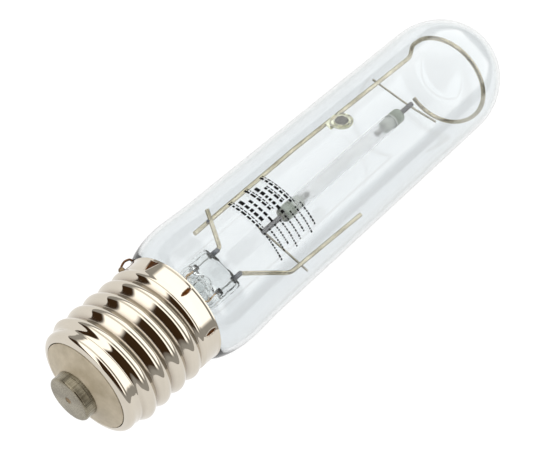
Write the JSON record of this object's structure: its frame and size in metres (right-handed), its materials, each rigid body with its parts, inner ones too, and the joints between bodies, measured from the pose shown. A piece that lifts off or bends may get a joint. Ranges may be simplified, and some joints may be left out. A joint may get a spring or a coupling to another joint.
{
  "type": "grow lamp",
  "caption": "Clear tubular high-pressure sodium lamp with a screw cap, a wire frame, a ceramic arc tube, a getter and a dome ring.",
  "frame": {"origin": "centre of the centre contact's flat face, on the lamp's axis", "axes": "+X along the lamp's axis to the dome; +Y in the plane of the wire frame, towards the long support rod; +Z square to that plane, up when the lamp burns horizontally"},
  "size_m": [0.211, 0.046, 0.046],
  "materials": {
    "cap_nickel": "bright nickel plate on brass, warm, with fine rolling lines",
    "contact_nickel": "satin nickel plate",
    "vitrite": "matt grey-beige moulded glass",
    "solder": "soft solder, slightly dull",
    "hookup_wire": "thin nickel wire, heat-browned",
    "clear_glass": "clear hard glass, faint cool tint",
    "stem_glass": "clear pressed glass",
    "seal_wire": "oxidised seal wire, orange-brown",
    "weld_grey": "grey weld metal",
    "frame_nickel": "nickel-plated iron wire, warm grey",
    "strap_nickel": "thin nickel wire",
    "alumina": "translucent white alumina",
    "plug_ceramic": "grey-green alumina, shaded by the fill",
    "frit_glass": "dark sealing glass",
    "niobium": "dark grey metal",
    "tungsten": "dark drawn metal",
    "amalgam": "grey amalgam bead",
    "getter_steel": "thin plated steel",
    "getter_powder": "pressed dark powder",
    "marking_ink": "black fired print, matt"
  },
  "bodies": {
    "root": {"cap_shell": "cap_nickel", "cap_insulator": "vitrite", "centre_contact": "contact_nickel", "contact_solder": "solder", "side_lead": "hookup_wire", "side_weld": "solder", "centre_lead": "hookup_wire", "outer_bulb": "clear_glass", "stem_glass": "stem_glass", "exhaust_tube": "stem_glass", "seal_wire_long": "seal_wire", "seal_wire_short": "seal_wire", "ferrule_long": "weld_grey", "ferrule_short": "weld_grey", "long_leg": "frame_nickel", "short_lead": "frame_nickel", "support_rod": "frame_nickel", "dome_ring": "frame_nickel", "upper_strap": "strap_nickel", "lower_strap": "strap_nickel", "rod_welds": "weld_grey", "arc_tube": "alumina", "upper_plug": "plug_ceramic", "lower_plug": "plug_ceramic", "upper_frit": "frit_glass", "lower_frit": "frit_glass", "upper_niobium": "niobium", "lower_niobium": "niobium", "upper_electrode": "tungsten", "lower_electrode": "tungsten", "upper_coil": "tungsten", "lower_coil": "tungsten", "sodium_dose": "amalgam", "getter_ring": "getter_steel", "getter_fill": "getter_powder", "getter_tab": "getter_steel", "glass_marking": "marking_ink"}
  },
  "joints": []
}
